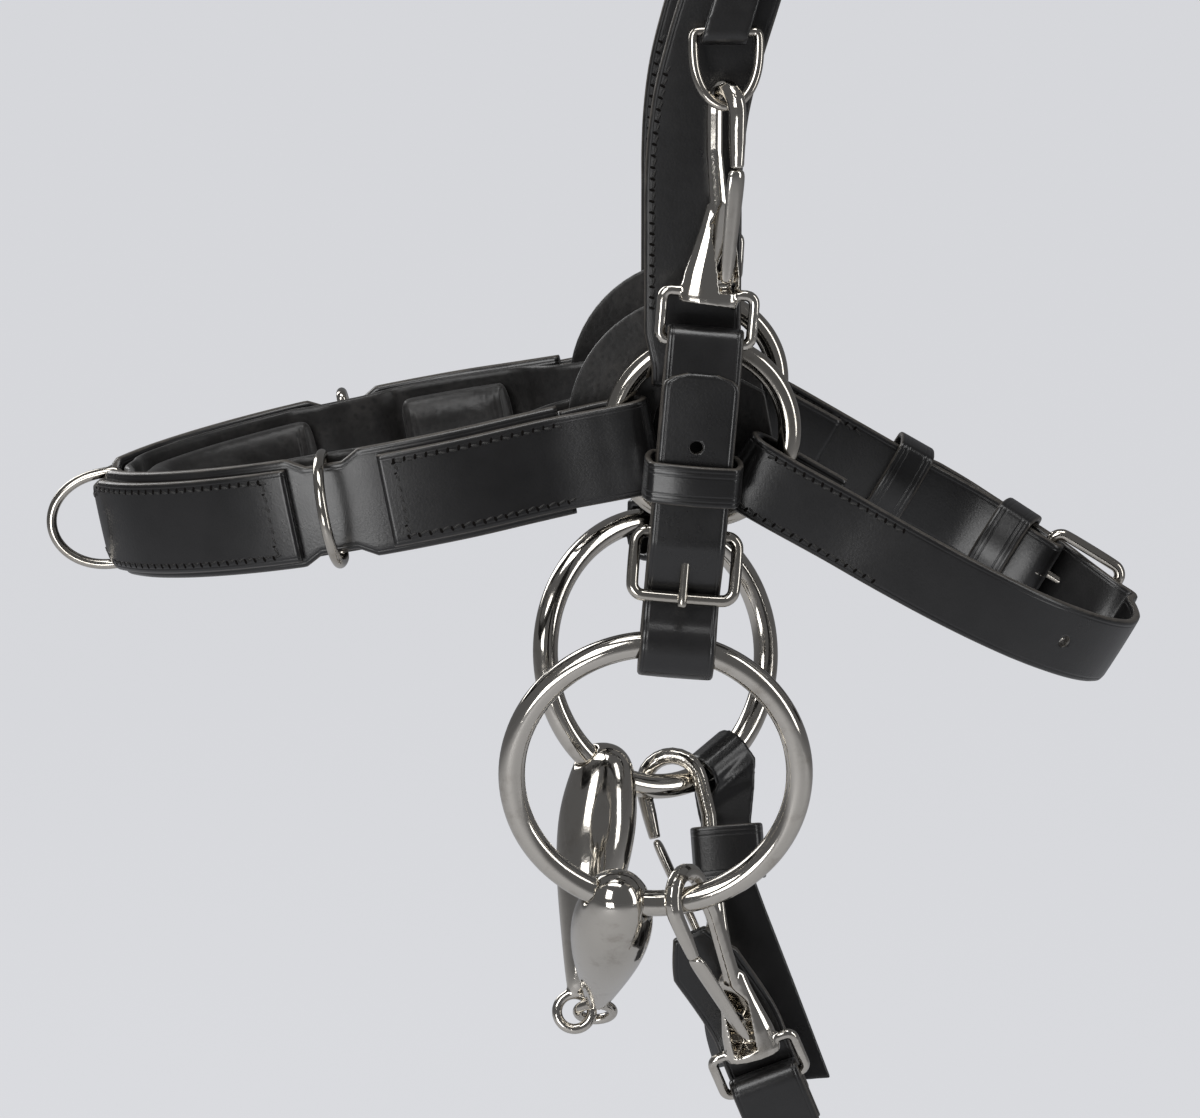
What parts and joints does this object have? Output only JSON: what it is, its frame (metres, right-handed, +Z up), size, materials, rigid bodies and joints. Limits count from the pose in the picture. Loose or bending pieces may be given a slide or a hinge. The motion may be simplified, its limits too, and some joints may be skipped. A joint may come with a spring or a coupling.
{
  "type": "lunging cavesson",
  "caption": "Leather lunging cavesson: padded noseband with D rings, cheekpieces, chin strap, and a ring bit hung on snap straps with a coupling beneath.",
  "frame": {"origin": "the poll: the top of the headpiece, where it lies behind the horse's ears; everything hangs below it", "axes": "+Z up. -X is the front, towards the noseband's front D ring, and +X the back, towards the chin strap. +Y is the far side in the picture, and -Y the near side."},
  "size_m": [0.2984, 0.1362, 0.6498],
  "materials": {
    "black_leather": "smooth black bridle leather, half gloss",
    "lining_leather": "soft dark lining leather, matt",
    "nickel_steel": "nickel-plated wire, bright with brownish reflections",
    "polished_steel": "polished steel"
  },
  "bodies": {
    "headstall": {"headpiece": "black_leather", "near_cheekpiece": "black_leather", "far_cheekpiece": "black_leather", "near_headpiece_buckle": "nickel_steel", "far_headpiece_buckle": "nickel_steel", "near_headpiece_keeper": "black_leather", "far_headpiece_keeper": "black_leather", "near_top_chape": "black_leather", "far_top_chape": "black_leather", "near_top_d_ring": "nickel_steel", "far_top_d_ring": "nickel_steel", "near_ring_safe": "lining_leather", "far_ring_safe": "lining_leather", "near_rear_overlay": "black_leather", "far_rear_overlay": "black_leather", "near_rear_pad": "lining_leather", "far_rear_pad": "lining_leather", "noseband_strap": "black_leather", "noseband_lining": "lining_leather", "front_overlay": "black_leather", "front_pad": "lining_leather"},
    "bit_suspension": {"near_snap_body": "polished_steel", "far_snap_body": "polished_steel", "near_bit_strap": "black_leather", "far_bit_strap": "black_leather", "near_bit_strap_buckle": "nickel_steel", "far_bit_strap_buckle": "nickel_steel", "near_bit_strap_keeper": "black_leather", "far_bit_strap_keeper": "black_leather", "near_cannon": "polished_steel", "far_cannon": "polished_steel"},
    "near_bit_ring": {"near_bit_ring": "polished_steel"},
    "far_bit_ring": {"far_bit_ring": "polished_steel"},
    "near_cheek_ring": {"near_cheek_ring": "nickel_steel"},
    "far_cheek_ring": {"far_cheek_ring": "nickel_steel"},
    "near_snap_gate": {"near_snap_gate": "polished_steel"},
    "far_snap_gate": {"far_snap_gate": "polished_steel"},
    "near_headpiece_tongue": {"near_headpiece_tongue": "nickel_steel"},
    "far_headpiece_tongue": {"far_headpiece_tongue": "nickel_steel"},
    "near_bit_strap_tongue": {"near_bit_strap_tongue": "nickel_steel"},
    "far_bit_strap_tongue": {"far_bit_strap_tongue": "nickel_steel"},
    "front_d_ring": {"front_d_ring": "nickel_steel"},
    "near_d_ring": {"near_d_ring": "nickel_steel"},
    "far_d_ring": {"far_d_ring": "nickel_steel"},
    "chin_strap": {"chin_billet": "black_leather", "chin_buckle_strap": "black_leather", "chin_buckle": "nickel_steel", "chin_upper_keeper": "black_leather", "chin_lower_keeper": "black_leather"},
    "chin_tongue": {"chin_tongue": "nickel_steel"},
    "near_coupling": {"near_coupler_snap_body": "polished_steel", "near_coupler_strap": "black_leather"},
    "near_coupler_gate": {"near_coupler_snap_gate": "polished_steel"},
    "far_coupling": {"far_coupler_snap_body": "polished_steel", "far_coupler_strap": "black_leather", "far_coupler_sleeve": "black_leather", "far_coupler_tab": "black_leather"},
    "far_coupler_gate": {"far_coupler_snap_gate": "polished_steel"},
    "lead_ring": {"lead_ring": "nickel_steel"}
  },
  "joints": [
    {"name": "bit_swing", "type": "hinge", "parent": "headstall", "child": "bit_suspension", "pos_m": [-0.0067, 0, -0.31406], "axis": [0, -1, 0], "range_deg": [-3, 4]},
    {"name": "near_cheek_ring_spin", "type": "hinge", "parent": "headstall", "child": "near_cheek_ring", "pos_m": [-0.012, -0.038, -0.4], "axis": [0, 1, 0], "continuous": true},
    {"name": "near_bit_ring_spin", "type": "hinge", "parent": "bit_suspension", "child": "near_bit_ring", "pos_m": [-0.0239, -0.0455, -0.4906], "axis": [0, 0.9833, 0.1822], "continuous": true},
    {"name": "near_snap_gate_press", "type": "hinge", "parent": "bit_suspension", "child": "near_snap_gate", "pos_m": [-0.00643, -0.054, -0.3577], "axis": [-0.8829, -0.4695, 0], "range_deg": [0, 11], "stiffness_Nm_per_rad": 0.05, "springref_deg": -20.05},
    {"name": "near_coupler_gate_press", "type": "hinge", "parent": "near_coupling", "child": "near_coupler_gate", "pos_m": [0.00102, -0.02661, -0.56967], "axis": [-0.8362, 0.5225, -0.1664], "range_deg": [0, 12], "stiffness_Nm_per_rad": 0.05, "springref_deg": -20.05},
    {"name": "near_headpiece_tongue_lift", "type": "hinge", "parent": "headstall", "child": "near_headpiece_tongue", "pos_m": [0.01093, -0.0462, -0.115], "axis": [1, 0, 0], "range_deg": [0, 8]},
    {"name": "near_bit_strap_tongue_lift", "type": "hinge", "parent": "bit_suspension", "child": "near_bit_strap_tongue", "pos_m": [-0.01598, -0.054, -0.42383], "axis": [-0.9965, 0, 0.0837], "range_deg": [0, 8]},
    {"name": "near_d_ring_swing", "type": "hinge", "parent": "headstall", "child": "near_d_ring", "pos_m": [-0.10784, -0.04098, -0.41906], "axis": [-0.1891, 0, 0.982], "range_deg": [-45, 45]},
    {"name": "far_cheek_ring_spin", "type": "hinge", "parent": "headstall", "child": "far_cheek_ring", "pos_m": [-0.012, 0.038, -0.4], "axis": [0, 1, 0], "continuous": true},
    {"name": "far_bit_ring_spin", "type": "hinge", "parent": "bit_suspension", "child": "far_bit_ring", "pos_m": [-0.0222, 0.0465, -0.48], "axis": [-0.553, 0.8046, -0.2164], "continuous": true},
    {"name": "far_snap_gate_press", "type": "hinge", "parent": "bit_suspension", "child": "far_snap_gate", "pos_m": [-0.00643, 0.054, -0.3577], "axis": [0.8829, -0.4695, 0], "range_deg": [0, 11], "stiffness_Nm_per_rad": 0.05, "springref_deg": -20.05},
    {"name": "far_coupler_gate_press", "type": "hinge", "parent": "far_coupling", "child": "far_coupler_gate", "pos_m": [-0.00704, 0.02252, -0.56433], "axis": [0.249, 0.9294, -0.2724], "range_deg": [0, 10], "stiffness_Nm_per_rad": 0.05, "springref_deg": -20.05},
    {"name": "far_headpiece_tongue_lift", "type": "hinge", "parent": "headstall", "child": "far_headpiece_tongue", "pos_m": [0.01093, 0.0462, -0.115], "axis": [-1, 0, 0], "range_deg": [0, 8]},
    {"name": "far_bit_strap_tongue_lift", "type": "hinge", "parent": "bit_suspension", "child": "far_bit_strap_tongue", "pos_m": [-0.01395, 0.054, -0.41494], "axis": [0.8375, 0.5446, -0.0439], "range_deg": [0, 8]},
    {"name": "far_d_ring_swing", "type": "hinge", "parent": "headstall", "child": "far_d_ring", "pos_m": [-0.10784, 0.04098, -0.41906], "axis": [-0.1891, 0, 0.982], "range_deg": [-45, 45]},
    {"name": "front_d_ring_swing", "type": "hinge", "parent": "headstall", "child": "front_d_ring", "pos_m": [-0.16587, 0, -0.43023], "axis": [-0.1891, 0, 0.982], "range_deg": [-35, 35]},
    {"name": "chin_strap_lift", "type": "hinge", "parent": "headstall", "child": "chin_strap", "pos_m": [-0.012, 0, -0.4], "axis": [0, -1, 0], "range_deg": [-8, 30]},
    {"name": "chin_tongue_lift", "type": "hinge", "parent": "chin_strap", "child": "chin_tongue", "pos_m": [0.08246, 0.03343, -0.45238], "axis": [0.4945, -0.0628, 0.8669], "range_deg": [0, 8]},
    {"name": "near_coupling_swing", "type": "hinge", "parent": "bit_suspension", "child": "near_coupling", "pos_m": [-0.01514, -0.0388, -0.52675], "axis": [-0.9728, 0.0422, -0.2279], "range_deg": [-10, 15]},
    {"name": "far_coupling_swing", "type": "hinge", "parent": "bit_suspension", "child": "far_coupling", "pos_m": [-0.01811, 0.03939, -0.5169], "axis": [0.7781, 0.5916, 0.2113], "range_deg": [-6, 6]},
    {"name": "lead_ring_swing", "type": "hinge", "parent": "near_coupling", "child": "lead_ring", "pos_m": [0.0202, -0.01135, -0.61813], "axis": [-0.9327, 0, -0.3607], "range_deg": [-30, 30]}
  ]
}
